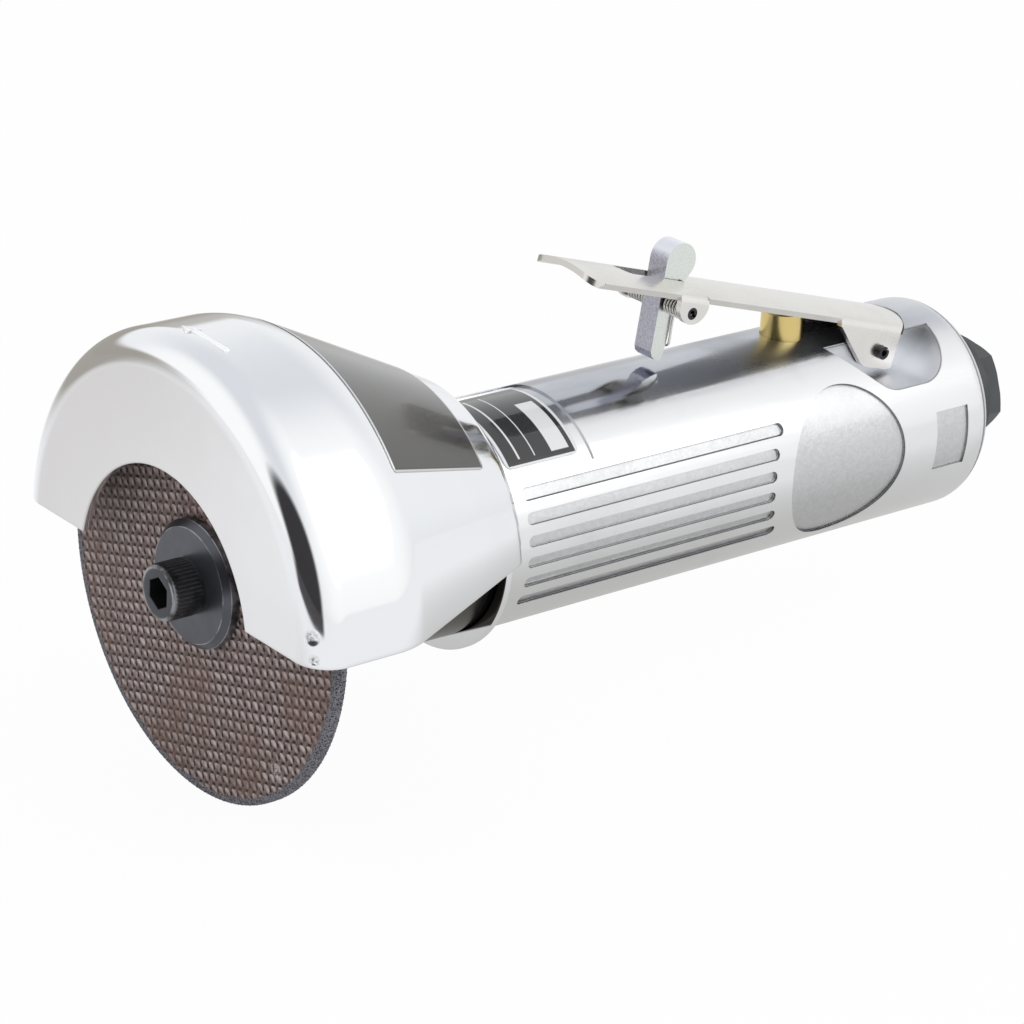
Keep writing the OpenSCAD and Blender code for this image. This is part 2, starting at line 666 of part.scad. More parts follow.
module valve_stem_o_ring() color("black") tool_frame() translate([stem_x, 0, stem_ring_z])
    o_ring(stem_ring_r, stem_ring_wire);

module valve_washer() color("black") tool_frame() translate([stem_x, 0, disc_z + 1.6 + seat]) difference() {
    cylinder(r = disc_r, h = seat_z - disc_z - 1.6 - 2 * seat);
    translate([0, 0, -1]) cylinder(r = 2 + seat, h = 5);
}

spring_low = chamber_low + 0.5 + valve_wire / 2;
spring_high = disc_z - 0.05 - valve_wire / 2;
valve_path = [for (i = [0 : valve_curls * 8]) let (a = i * 45, t = i / (valve_curls * 8))
    [3.2 * cos(a), 3.2 * sin(a), spring_low + (spring_high - spring_low) * t]];
module valve_spring() color("gray") tool_frame() translate([stem_x, 0, 0]) wire(valve_path, valve_wire / 2);

plug_r = 6;
plug_ring_z = chamber_low - 2;
plug_ring_wire = 0.5;
plug_ring_r = plug_r - plug_ring_wire;
module valve_plug() color("gray") tool_frame() translate([stem_x, 0, 0]) difference() {
    union() {
        translate([0, 0, -body_r + 0.4]) cylinder(r = plug_r, h = body_r - 0.4 + chamber_low - 0.05);
        translate([0, 0, chamber_low - 0.06]) cylinder(r = 4.6, h = 0.4);
    }
    translate([0, 0, -body_r - 1]) cylinder(r = 5 / sqrt(3), h = 4.5, $fn = 6);
    translate([0, 0, plug_ring_z]) rotate_extrude() ring_groove(plug_ring_r, plug_ring_wire + seat);
}

module valve_plug_o_ring() color("black") tool_frame() translate([stem_x, 0, plug_ring_z])
    o_ring(plug_ring_r, plug_ring_wire);

// the inlet's bushing with its sieve, and the exhaust's deflector that turns around it
thread_bottom = thread_mouth - thread_length;
strainer_r = 5;
module inlet_bushing() color("dimgray") tool_frame() difference() {
    union() {
        intersection() {
            translate([deflector_back + 0.3, 0, 0]) rotate([0, 90, 0]) rotate([0, 0, 39])
                cylinder(r = inlet_af / sqrt(3), h = wheel_to_inlet - deflector_back - 0.3, $fn = 6);
            turned() polygon([[0, deflector_back], [14, deflector_back], [14, wheel_to_inlet - 2.4],
                [inlet_af / 2 + 0.2, wheel_to_inlet], [0, wheel_to_inlet]]);
        }
        rod(bushing_front, deflector_back + 1, bushing_r);
    }
    rod(bushing_front - 1, wheel_to_inlet, 4);
    rod(thread_bottom, wheel_to_inlet + 1, inlet_bore_d / 2);
    rod(thread_bottom - 1.2, wheel_to_inlet, strainer_r + seat);
    turned() polygon([[0, thread_mouth], [inlet_bore_d / 2, thread_mouth],
        [inlet_bore_d / 2 + 1.3, wheel_to_inlet + 0.1], [0, wheel_to_inlet + 0.1]]);
    translate([bushing_front + 3, 0, 0]) rotate([0, 90, 0]) o_ring(bushing_r, 0.9);
}

module inlet_o_ring() color("black") tool_frame() translate([bushing_front + 3, 0, 0]) rotate([0, 90, 0])
    o_ring(bushing_r - 0.42, 0.42);

// a little sieve that keeps dirt out of the motor
module inlet_strainer() color("silver") tool_frame() difference() {
    rod(thread_bottom - 1.2 + seat, thread_bottom - seat, strainer_r);
    for (a = [0 : 60 : 300]) rotate([a, 0, 0]) for (r = [1.3, 2.7])
        rod(thread_bottom - 2, thread_bottom, 0.5, 0, r);
}

module muffler_ring() color("beige") tool_frame()
    pipe(chamber_front + 0.05, deflector_front - 0.6, chamber_r - 0.1, boss_r + 0.1);

module exhaust_deflector() color("dimgray") tool_frame() difference() {
    union() {
        rod(deflector_front, body_back - air, chamber_r - air);
        rod(deflector_front, deflector_back, deflector_d / 2);
    }
    rod(deflector_front - 1, deflector_back - 1.8, boss_r + 0.2);
    rod(deflector_front - 1, deflector_back + 1, bushing_r + play);
    // five slots on the side away from the nameplate
    for (a = [-130 : 20 : -50]) rotate([a, 0, 0]) translate([body_back + 0.9, -0.9, -deflector_d / 2 - 2.8])
        cube([4, 1.8, 6]);
}

motor_housing();
guard();
guard_label();
nameplate();
clamp_nut();
lock_washer();
front_end_plate();
motor_cylinder();
rear_end_plate();
alignment_pins();
motor_gasket();
rotor();
rotor_blades();
front_bearing_outer_ring();
front_bearing_inner_ring();
front_bearing_balls();
front_bearing_cage();
rear_bearing_outer_ring();
rear_bearing_inner_ring();
rear_bearing_balls();
rear_bearing_cage();
inner_flange();
cutting_wheel();
outer_flange();
wheel_screw();
throttle_lever();
lever_pin();
lock_off_catch();
catch_pin();
catch_spring();
valve_stem();
valve_stem_o_ring();
valve_washer();
valve_spring();
valve_plug();
valve_plug_o_ring();
inlet_bushing();
inlet_o_ring();
inlet_strainer();
muffler_ring();
exhaust_deflector();

echo(catch_spring_gap = self_gap(spring_path, catch_wire / 2, 5));
echo(valve_spring_gap = self_gap(valve_path, valve_wire / 2, 5));
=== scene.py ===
"""Looks of a three inch pneumatic cut off tool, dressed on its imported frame.

Everything is in metres in the part's frame: X runs from the wheel to the air inlet, whose thread
begins at X = 0, and Z points up to the throttle lever. Sizes in millimetres are counted from the
wheel's front face, as in the construction source, and place() moves them into the part's frame.
"""
import math

import bpy
import numpy as np
from mathutils import Matrix, Vector


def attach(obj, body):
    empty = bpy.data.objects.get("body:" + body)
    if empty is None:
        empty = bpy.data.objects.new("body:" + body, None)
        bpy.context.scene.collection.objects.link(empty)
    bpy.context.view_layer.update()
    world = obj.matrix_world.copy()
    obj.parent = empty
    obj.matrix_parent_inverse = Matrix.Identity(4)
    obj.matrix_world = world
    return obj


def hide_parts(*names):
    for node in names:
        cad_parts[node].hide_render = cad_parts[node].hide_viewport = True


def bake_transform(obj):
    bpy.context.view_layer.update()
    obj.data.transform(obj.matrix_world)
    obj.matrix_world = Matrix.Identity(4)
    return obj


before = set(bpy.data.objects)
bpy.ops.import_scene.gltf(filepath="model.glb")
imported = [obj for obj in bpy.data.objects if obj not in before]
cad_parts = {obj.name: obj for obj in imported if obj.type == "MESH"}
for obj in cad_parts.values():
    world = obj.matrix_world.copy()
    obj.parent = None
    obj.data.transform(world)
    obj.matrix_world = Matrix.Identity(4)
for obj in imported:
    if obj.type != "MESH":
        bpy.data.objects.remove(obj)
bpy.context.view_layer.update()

WHEEL_TO_THREAD = 178.8
LEVER_SLOPE = math.radians(16)
LEVER_PIN = np.array([146.2, 0.0, 16.1])
# in the lever's own frame, from its pin
CATCH_PIN = np.array([-51.06, 0.0, 2.11])


def place(points):
    """Millimetre points counted from the wheel's face, moved to the part's frame in metres."""
    return (np.asarray(points, float) - [WHEEL_TO_THREAD, 0, 0]) / 1000


def from_lever(points):
    """Points of the lever's own frame, turned about Y by the lever's slope and moved to its pin."""
    c, s = math.cos(LEVER_SLOPE), math.sin(LEVER_SLOPE)
    p = np.asarray(points, float)
    x, y, z = p[..., 0], p[..., 1], p[..., 2]
    return np.stack([x * c + z * s, y, z * c - x * s], -1) + LEVER_PIN


def full_turn(sides):
    """Evenly spaced angles of one turn."""
    return np.arange(sides) * 2 * np.pi / sides


def around(station, radius, angle):
    """Points about the X axis: y is radius times cos(angle), z is radius times sin(angle)."""
    y, z = radius * np.cos(angle), radius * np.sin(angle)
    return np.stack(np.broadcast_arrays(station, y, z), -1)


# meshes


def mesh_piece(name, verts, faces, body, stands_for, finish, crease=40, uv=None):
    """Puts vertices and faces into one mesh that rides on a body, where one is named.

    The mesh is smooth except at edges over the crease angle. uv holds one pair for each vertex.
    """
    mesh = bpy.data.meshes.new(name)
    mesh.from_pydata(np.asarray(verts, float).reshape(-1, 3).tolist(), [],
                     faces.tolist() if isinstance(faces, np.ndarray) else faces)
    if uv is not None:
        layer = mesh.uv_layers.new(name="surface")
        loops = np.empty(len(mesh.loops), np.int32)
        mesh.loops.foreach_get("vertex_index", loops)
        layer.data.foreach_set("uv", np.asarray(uv, np.float32).reshape(-1, 2)[loops].ravel())
    mesh.shade_smooth()
    if crease:
        mesh.set_sharp_from_angle(angle=math.radians(crease))
    piece = bpy.data.objects.new(name, mesh)
    bpy.context.scene.collection.objects.link(piece)
    mesh.materials.append(MATERIALS[finish])
    if body:
        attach(piece, body)
    if stands_for:
        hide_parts(*stands_for)
    return piece


def grid_faces(rows, columns, wrap_rows=False, wrap_columns=False):
    """Four-sided faces between neighbouring points of a grid, closing a direction that wraps."""
    i = np.arange(rows if wrap_rows else rows - 1)[:, None]
    j = np.arange(columns if wrap_columns else columns - 1)[None, :]
    a = i * columns + j
    b = i * columns + (j + 1) % columns
    c = ((i + 1) % rows) * columns + (j + 1) % columns
    d = ((i + 1) % rows) * columns + j
    return np.stack([a, b, c, d], -1).reshape(-1, 4)


def rounded(points, radius, steps):
    """A closed outline whose corners are quadratic curves that start at most radius before them.

    On a short side they start 45% of its length before the corner.
    """
    p = np.asarray(points, float)

    def beside(neighbour):
        side = neighbour - p
        length = np.linalg.norm(side, axis=1, keepdims=True)
        return p + side / length * np.minimum(radius, length * 0.45)

    a, b = beside(np.roll(p, 1, 0)), beside(np.roll(p, -1, 0))
    t = np.linspace(0, 1, steps + 1)[None, :, None]
    curve = (1 - t) ** 2 * a[:, None] + 2 * t * (1 - t) * p[:, None] + t ** 2 * b[:, None]
    return curve.reshape(-1, 2)


def tube(path, radius, sides=14):
    """A round wire along a path: rings of a frame that is carried along it without twist."""
    p = np.asarray(path, float)
    tangent = np.gradient(p, axis=0)
    tangent /= np.linalg.norm(tangent, axis=1, keepdims=True)
    normal = np.empty_like(p)
    # any direction that no path here starts in
    n = np.array([0.31, 0.22, 0.93])
    for i, t in enumerate(tangent):
        n = n - n.dot(t) * t
        n /= np.linalg.norm(n)
        normal[i] = n
    side = np.cross(tangent, normal)
    a = full_turn(sides)[None, :, None]
    ring = np.cos(a) * normal[:, None] + np.sin(a) * side[:, None]
    verts = (p[:, None] + radius * ring).reshape(-1, 3)
    faces = grid_faces(len(p), sides, False, True).tolist()
    last = (len(p) - 1) * sides
    caps = [list(range(sides))[::-1], [last + k for k in range(sides)]]
    return verts, faces + caps


def smooth_path(points, count):
    """Points along a smooth curve through the given ones, in cubic pieces (Catmull-Rom)."""
    p = np.asarray(points, float)
    p = np.concatenate([[2 * p[0] - p[1]], p, [2 * p[-1] - p[-2]]])
    t = np.linspace(0, len(p) - 3, count)
    k = np.minimum(t.astype(int), len(p) - 4)
    f = (t - k)[:, None]
    a, b, c, d = p[k], p[k + 1], p[k + 2], p[k + 3]
    return 0.5 * (2 * b + (c - a) * f + (2 * a - 5 * b + 4 * c - d) * f ** 2
                  + (3 * b - a - 3 * c + d) * f ** 3)


# materials

VECTOR, FLOAT, COLOUR = "NodeSocketVector", "NodeSocketFloat", "NodeSocketColor"


class Nodes:
    """A short way to wire shader nodes: most calls return the new node's first output."""

    def __init__(self, tree):
        self.tree = tree

    def put(self, value, socket):
        if isinstance(value, bpy.types.NodeSocket):
            self.tree.links.new(value, socket)
        else:
            socket.default_value = value

    def node(self, kind, inputs=None, **settings):
        node = self.tree.nodes.new(kind)
        for key, value in settings.items():
            setattr(node, key, value)
        for key, value in (inputs or {}).items():
            self.put(value, node.inputs[key])
        return node

    def math(self, operation, *values):
        inputs = dict(enumerate(values))
        return self.node("ShaderNodeMath", inputs, operation=operation).outputs[0]

    def times(self, first, *others):
        for other in others:
            first = self.math("MULTIPLY", first, other)
        return first

    def inverse(self, value):
        return self.math("SUBTRACT", 1.0, value)

    def step(self, value, low, high, to_low=0.0, to_high=1.0):
        """A smooth step from to_low, where the value is low, to to_high, where it is high."""
        inputs = {0: value, 1: low, 2: high, 3: to_low, 4: to_high}
        return self.node("ShaderNodeMapRange", inputs, interpolation_type="SMOOTHSTEP").outputs[0]

    def mix(self, factor, a, b):
        """Mixes two sockets, or colours of three numbers."""
        a, b = (c if isinstance(c, bpy.types.NodeSocket) else (*c, 1) for c in (a, b))
        return self.node("ShaderNodeMix", {0: factor, 6: a, 7: b}, data_type="RGBA").outputs[2]

    def noise(self, vector, scale, detail=3.0, roughness=0.55):
        return self.node("ShaderNodeTexNoise", {"Vector": vector, "Scale": scale, "Detail": detail,
                                                "Roughness": roughness}).outputs[0]

    def stretch(self, vector, scale, location=(0, 0, 0)):
        inputs = {"Vector": vector, "Scale": scale, "Location": location}
        return self.node("ShaderNodeMapping", inputs).outputs[0]

    def vector(self, operation, *values):
        inputs = dict(enumerate(values))
        return self.node("ShaderNodeVectorMath", inputs, operation=operation).outputs

    def dot(self, vector, direction):
        return self.vector("DOT_PRODUCT", vector, direction)["Value"]

    def away(self, vector, point):
        return self.vector("DISTANCE", vector, point)["Value"]

    def axes(self, vector):
        return self.node("ShaderNodeSeparateXYZ", {0: vector}).outputs

    def joined(self, x, y=0.0):
        return self.node("ShaderNodeCombineXYZ", {0: x, 1: y}).outputs[0]

    def from_axis(self, y, z):
        """Distance from the X axis."""
        return self.math("SQRT", self.math("ADD", self.times(y, y), self.times(z, z)))

    def facing(self):
        """The three numbers of the piece's own normal, which turns with the piece."""
        return self.axes(self.node("ShaderNodeTexCoord").outputs["Normal"])

    def group(self, group, inputs):
        return self.node("ShaderNodeGroup", inputs, node_tree=group).outputs


def effect(name, inputs, outputs, wire):
    """A shared effect as a node group: wire(nodes, inputs) returns the values of its outputs."""
    tree = bpy.data.node_groups.new(name, "ShaderNodeTree")
    for key, kind in inputs.items():
        tree.interface.new_socket(key, in_out="INPUT", socket_type=kind)
    for key, kind in outputs.items():
        tree.interface.new_socket(key, in_out="OUTPUT", socket_type=kind)
    nodes = Nodes(tree)
    source = tree.nodes.new("NodeGroupInput")
    sink = tree.nodes.new("NodeGroupOutput")
    for socket, value in zip(sink.inputs, wire(nodes, source.outputs)):
        nodes.put(value, socket)
    return tree


def wire_grain(n, i):
    """Fine lines along X: noise squeezed across them, over a slower noise that breaks them up."""
    fine = n.noise(n.stretch(i["Vector"], (60.0, 2600.0, 2600.0)), 1.0, 4.0, 0.6)
    slow = n.noise(n.stretch(i["Vector"], (90.0, 260.0, 260.0)), 1.0, 3.0, 0.5)
    lines = n.math("MULTIPLY_ADD", fine, 0.7, n.times(slow, 0.3))
    rough = n.math("MULTIPLY_ADD", n.math("SUBTRACT", lines, 0.5), i["Spread"], i["Roughness"])
    return rough, lines


def wire_handling(n, i):
    """Cloudy patches of handling marks that lift the roughness and dull the colour a little."""
    cloud = n.noise(i["Vector"], i["Scale"], 5.0, 0.62)
    mask = n.step(cloud, 0.48, 0.72)
    rough = n.math("MULTIPLY_ADD", mask, i["Amount"], i["Roughness"])
    return rough, n.mix(n.times(mask, i["Tint"]), i["Colour"], (0.3, 0.29, 0.28))


def wire_cast(n, i):
    """Pebbled cast skin: rounded cells on a noise that is coarser than they are."""
    cells = n.node("ShaderNodeTexVoronoi", {"Vector": i["Vector"], "Scale": i["Scale"]},
                   feature="SMOOTH_F1").outputs[0]
    soft = n.noise(i["Vector"], n.times(i["Scale"], 0.4), 4.0, 0.6)
    return (n.math("ADD", n.times(cells, 0.5), soft),)


GRAIN = effect("polishing_lines", {"Vector": VECTOR, "Roughness": FLOAT, "Spread": FLOAT},
               {"Roughness": FLOAT, "Height": FLOAT}, wire_grain)
HANDLING = effect("handling_marks", {"Vector": VECTOR, "Scale": FLOAT, "Roughness": FLOAT,
                                     "Amount": FLOAT, "Tint": FLOAT, "Colour": COLOUR},
                  {"Roughness": FLOAT, "Colour": COLOUR}, wire_handling)
CAST = effect("cast_skin", {"Vector": VECTOR, "Scale": FLOAT}, {"Height": FLOAT}, wire_cast)


def new_material(name):
    material = bpy.data.materials.new(name)
    material.use_nodes = True
    n = Nodes(material.node_tree)
    shader = n.tree.nodes["Principled BSDF"]
    here = n.node("ShaderNodeTexCoord").outputs["Object"]
    return material, n, shader, here


def surface(n, shader, colour, roughness, height, distance, metallic=1.0, coat=None):
    """Sends the looks to the shader; height times distance is a relief in metres.

    coat gives a clear coat's weight and roughness.
    """
    n.put(colour, shader.inputs["Base Color"])
    n.put(roughness, shader.inputs["Roughness"])
    shader.inputs["Metallic"].default_value = metallic
    if coat:
        shader.inputs["Coat Weight"].default_value = coat[0]
        shader.inputs["Coat Roughness"].default_value = coat[1]
    relief = n.node("ShaderNodeBump", {"Strength": 1.0, "Distance": distance, "Height": height})
    n.put(relief.outputs[0], shader.inputs["Normal"])


def worn(n, here, colour, rough, spread, scale, marks, tint):
    """Polishing lines and handling marks: the colour, the roughness and the lines' height."""
    grain = n.group(GRAIN, {"Vector": here, "Roughness": rough, "Spread": spread})
    hand = n.group(HANDLING, {"Vector": here, "Scale": scale, "Roughness": grain["Roughness"],
                              "Amount": marks, "Tint": tint, "Colour": (*colour, 1)})
    return hand["Colour"], hand["Roughness"], grain["Height"]


def metal(name, colour, rough, spread=0.12, marks=0.08, tint=0.12, lines=6e-6, scale=55.0):
    """Bare or plated metal with polishing lines and handling marks."""
    material, n, shader, here = new_material(name)
    surface(n, shader, *worn(n, here, colour, rough, spread, scale, marks, tint), lines)
    return material


def plain_skin(name, colour, second, rough, scale=300.0, height=1e-5, metallic=0.0):
    """A non-metal or oxide skin: two close colours mixed by noise, with a fine relief."""
    material, n, shader, here = new_material(name)
    cloud = n.noise(here, scale, 5.0, 0.6)
    surface(n, shader, n.mix(cloud, colour, second),
            n.math("MULTIPLY_ADD", cloud, 0.2, rough - 0.1),
            n.noise(here, scale * 6, 3.0, 0.6), height, metallic)
    return material


def housing_aluminium():
    """Polished casting: bright turned skin, matt cast floors in the grooves and fields.

    Every sunk floor is round with the body, so its distance from the axis tells it from the skin.
    """
    material, n, shader, here = new_material("polished_casting")
    x, y, z = n.axes(here)
    radius = n.from_axis(y, z)
    sunk = n.times(n.step(radius, 0.02012, 0.02), n.step(radius, 0.0185, 0.0193),
                   n.step(x, -0.0113, -0.0133))
    plate_bed = n.times(n.step(x, -0.1, -0.105), n.step(z, 0.0119, 0.0124))
    pocket = n.times(n.step(x, -0.06, -0.056), n.step(z, 0.007, 0.0095),
                     n.step(radius, 0.0201, 0.0193))
    floor = n.times(sunk, n.inverse(plate_bed), n.inverse(pocket))
    # walls rise from the floors of grooves, round field and square: 0.6, 0.5 and 0.4 mm deep
    foot = n.math("ADD", n.step(x, -0.0685, -0.0675, 0.01963, 0.01973),
                  n.step(x, -0.032, -0.031, 0.0, 0.0001))
    wall = n.times(floor, n.step(n.math("SUBTRACT", radius, foot), 0.0, 0.00008))
    bright, rough, lines = worn(n, here, (0.79, 0.795, 0.8), 0.17, 0.18, 42.0, 0.09, 0.12)
    # painted reflection of the lever's shade: the skin along its top is blue grey up to a cloudy
    # edge, and so are the ears' pockets
    cloud = n.noise(n.stretch(here, (22.0, 60.0, 60.0)), 1.0, 4.0, 0.6)
    reach = n.math("MULTIPLY_ADD", n.math("SUBTRACT", cloud, 0.5), 0.004, z)
    painted_shade_under_lever = n.times(n.step(x, -0.122, -0.11), n.step(x, -0.006, -0.036, 0.3, 1.0),
                    n.step(reach, 0.0168, 0.0192))
    painted_shade_under_lever = n.math("MAXIMUM", painted_shade_under_lever, n.times(pocket, 0.5))
    skin = n.mix(n.times(painted_shade_under_lever, n.step(cloud, 0.3, 0.6, 0.95, 0.65)), bright,
                 (0.37, 0.392, 0.445))
    cast = n.group(CAST, {"Vector": here, "Scale": 2200.0})["Height"]
    floor_tone_and_wall_shade = n.mix(n.step(cast, 0.45, 0.95), (0.56, 0.565, 0.57), (0.62, 0.625, 0.63))
    # painted shade: the walls of the sunk floors are painted dark, as the shade in the grooves
    floor_tone_and_wall_shade = n.mix(wall, floor_tone_and_wall_shade, (0.2, 0.2, 0.205))
    # smoothest in front of the catch, so that it mirrors the catch
    polish = n.times(painted_shade_under_lever, n.step(x, -0.078, -0.062, -0.05, 0.11))
    dulled = n.math("MULTIPLY_ADD", floor, 0.2, n.math("MULTIPLY_ADD", pocket, 0.14, polish))
    height = n.math("MULTIPLY_ADD", cast, n.times(floor, 3.5), lines)
    surface(n, shader, n.mix(floor, skin, floor_tone_and_wall_shade), n.math("ADD", dulled, rough), height, 1.2e-5)
    return material


def guard_chrome():
    """Bright plating: satin on the flat lip, painted shade in the ring's bore, two dents in the
    edge.
    """
    material, n, shader, here = new_material("bright_plating")
    x, y, z = n.axes(here)
    radius = n.from_axis(y, z)
    lip = n.times(n.step(x, -0.18615, -0.18665), n.step(radius, 0.0392, 0.0372))
    # painted shade on the ring's face towards the wheel, without the crescent that the nut leaves
    # open
    bore = n.times(n.step(x, -0.1335, -0.1325), n.step(n.facing()[0], -0.3, -0.7),
                   n.step(radius, 0.0235, 0.0225),
                   n.step(n.dot(here, (0, -0.487, -0.874)), 0.0198, 0.0194))
    first, second = (n.step(n.away(here, spot), size * 0.1, size, -1.0, 0.0)
                     for spot, size in (((-0.1858, -0.04015, 0.0073), 0.0016),
                                        ((-0.18566, -0.0408, 0.0036), 0.0012)))
    dents = n.math("ADD", first, second)
    # the dents are darkened in patches that noise breaks up
    dent_darkening = n.times(dents, -0.75, n.step(n.noise(here, 1900.0, 3.0, 0.6), 0.38, 0.6))
    bright, rough, _ = worn(n, here, (0.86, 0.87, 0.885), 0.07, 0.03, 35.0, 0.035, 0.03)
    # painted reflection on the lip: darker high up and on the far side, lighter low down and on the
    # near side
    slope = n.math("ADD", n.dot(here, (0, -0.75, -0.66)),
                   n.times(n.noise(here, 90.0, 4.0, 0.6), 0.012))
    lip_painted_reflection = n.mix(n.step(slope, -0.03, 0.034), (0.76, 0.745, 0.74), (0.96, 0.965, 0.98))
    skin = n.mix(n.math("MAXIMUM", dent_darkening, bore), n.mix(lip, bright, lip_painted_reflection), (0.05, 0.045, 0.045))
    waves = n.math("ADD", n.times(dents, 0.0001), n.times(n.noise(here, 40.0, 1.0, 0.4), 0.00012))
    blasted = n.times(n.noise(here, 2600.0, 2.0, 0.5), n.times(lip, 5e-6))
    surface(n, shader, skin, n.math("MULTIPLY_ADD", lip, 0.32, rough),
            n.math("ADD", waves, blasted), 1.0)
    return material


def catch_zinc():
    """Zinc plated casting, speckled grey, with painted reflections on its faces and a painted
    highlight on top.
    """
    material, n, shader, here = new_material("zinc_casting")
    _, sideways, upwards = n.facing()
    speck = n.noise(here, 2600.0, 4.0, 0.65)
    front = n.mix(n.step(speck, 0.36, 0.62), (0.38, 0.38, 0.44), (0.53, 0.53, 0.6))
    side = n.mix(n.step(speck, 0.3, 0.66), (0.66, 0.69, 0.65), (0.75, 0.78, 0.74))
    # painted reflection: front and back darker, sides paler, by how the piece's own normal turns
    speck_and_painted_light = n.mix(n.step(n.math("ABSOLUTE", sideways), 0.5, 0.9), front, side)
    # painted highlight on the faces that look up
    speck_and_painted_light = n.mix(n.step(upwards, 0.35, 0.8), speck_and_painted_light, (0.84, 0.85, 0.9))
    surface(n, shader, speck_and_painted_light, n.math("MULTIPLY_ADD", speck, 0.24, 0.18), speck, 1.2e-5)
    return material


def turned_oxide(name, edges, tones, bright):
    """Blued turned steel, faintly ringed by the lathe, with painted highlights as thin bright lines
    on its edges.

    edges gives the radius and half the width of each painted highlight line.
    """
    material, n, shader, here = new_material(name)
    _, y, z = n.axes(here)
    radius = n.from_axis(y, z)
    cloud = n.noise(here, 260.0, 4.0, 0.6)
    rings = n.noise(n.joined(n.times(radius, 9000.0)), 1.0, 2.0)
    # painted highlight: thin bright lines at the edges' radii, broken up by the cloud
    edge_highlight = 0.0
    for edge, half in edges:
        beside = n.math("ABSOLUTE", n.math("SUBTRACT", radius, edge))
        edge_highlight = n.math("ADD", n.step(beside, half, half * 0.2), edge_highlight)
    edge_highlight = n.times(edge_highlight, n.step(cloud, 0.36, 0.58))
    surface(n, shader, n.mix(edge_highlight, n.mix(cloud, *tones), bright),
            n.math("MULTIPLY_ADD", rings, 0.16, 0.22), rings, 3e-6, 0.9)
    return material


def thread_floats(n, run, cross, first, pointed, width):
    """One set of threads: its floats' leaf height, and the place along and across a float.

    run and cross are counted in threads; first is the step by which the set's floats start.
    """
    thread = n.math("FLOOR", cross)
    place_in = n.math("SUBTRACT", n.math("SUBTRACT", run, 0.5 + first), thread)
    along = n.math("WRAP", place_in, -1.0, 1.0)
    across = n.math("SUBTRACT", n.math("SUBTRACT", cross, thread), 0.5)
    leaf = n.math("MULTIPLY_ADD", n.times(along, along), -1.6, 1.0)
    leaf = n.times(leaf, n.math("MULTIPLY_ADD", along, -pointed, 1.0))
    return n.math("MULTIPLY_ADD", n.math("ABSOLUTE", across), -1 / width, leaf), along, across


def abrasive_mesh():
    """Resin bonded grit under a plain weave of glass threads.

    With u and v counted in threads along the two thread directions, thread number floor(v) rises
    every second step of u, so that the place along its float is u - 1/2 - floor(v), wrapped to
    -1..1. The float is the leaf (1 - 1.6 place^2) (1 - pointed place) - side / width > 0; the weft
    lies under the warp, and where neither reaches is a dark hole.
    """
    material, n, shader, here = new_material("abrasive_mesh")
    _, y, z = n.axes(here)
    pitch = 0.00142
    drift = n.times(n.math("SUBTRACT", n.noise(here, 420.0, 2.0, 0.5), 0.5), 0.5)
    along_warp = n.dot(here, (0, -0.879, -0.477))
    along_weft = n.dot(here, (0, -0.477, 0.879))
    u = n.math("MULTIPLY_ADD", along_warp, 1 / pitch, drift)
    v = n.math("MULTIPLY_ADD", along_weft, 1 / pitch, drift)
    warp, warp_place, warp_side = thread_floats(n, u, v, 0, 0.5, 0.48)
    weft, _, weft_side = thread_floats(n, v, u, 1, 0.0, 0.46)
    over = n.step(warp, -0.02, 0.08)
    warp_fibre, weft_fibre = (n.noise(n.joined(n.times(along, 500.0), n.times(across, 7000.0)),
                                      1.0, 2.0, 0.5)
                              for along, across in ((along_warp, along_weft),
                                                    (along_weft, along_warp)))
    # warp threads: painted pale as the lit threads, with brown patches, and painted shade where
    # they turn down or away
    patch = n.math("MULTIPLY_ADD", n.noise(here, 700.0, 2.0, 0.5), 0.6, n.times(warp_fibre, 0.4))
    light = n.mix(n.step(patch, 0.36, 0.62), (0.25, 0.175, 0.16), (0.56, 0.47, 0.45))
    painted_relief_shade = n.math("MAXIMUM", n.step(warp_side, 0.02, -0.3), n.step(warp_place, 0.1, 0.75))
    light = n.mix(n.times(painted_relief_shade, 0.72), light, (0.05, 0.03, 0.028))
    # weft threads, painted darker than the warp as their shade, darker still on one side as painted
    # shade, and the holes between
    dark = n.mix(n.step(weft_fibre, 0.35, 0.65), (0.075, 0.05, 0.044), (0.23, 0.175, 0.16))
    dark = n.mix(n.times(n.step(weft_side, -0.02, 0.32), 0.6), dark, (0.03, 0.018, 0.017))
    thread = n.mix(n.step(weft, -0.05, 0.2), (0.011, 0.006, 0.006), dark)
    thread = n.mix(over, thread, light)
    rusty = n.step(n.noise(here, 75.0, 3.0, 0.6), 0.42, 0.66)
    thread = n.mix(n.times(rusty, 0.4), thread, (0.16, 0.085, 0.062))
    # bare grit past the mesh's ragged edge and round the rim
    ragged = n.math("MULTIPLY_ADD", n.noise(here, 1100.0, 3.0, 0.7), 0.0011, n.from_axis(y, z))
    margin = n.step(ragged, 0.0371, 0.0375)
    grit = n.node("ShaderNodeTexVoronoi", {"Vector": here, "Scale": 3000.0}).outputs[0]
    fleck = n.noise(here, 2400.0, 4.0, 0.65)
    bare = n.mix(n.step(grit, 0.2, 0.62), (0.012, 0.012, 0.015), (0.2, 0.2, 0.225))
    scuff = n.times(n.step(n.away(here, (-0.1788, -0.0228, -0.0253)), 0.0022, 0.0004),
                    n.step(fleck, 0.45, 0.6), 0.8)
    colour = n.mix(scuff, n.mix(margin, thread, bare), (0.6, 0.56, 0.53))
    top = n.math("ADD", n.math("MAXIMUM", warp, 0.0), n.times(over, 0.6))
    top = n.math("MAXIMUM", top, n.times(weft, 0.7))
    woven = n.times(n.math("MULTIPLY_ADD", warp_fibre, 0.25, top), 0.00013)
    rise = n.mix(margin, woven, n.times(grit, 0.00022))
    shader.inputs["Specular IOR Level"].default_value = 0.22
    surface(n, shader, colour, n.step(fleck, 0.3, 0.7, 0.62, 0.46),
            n.math("ADD", rise, n.times(fleck, 0.00004)), 1.0, 0.0)
    return material


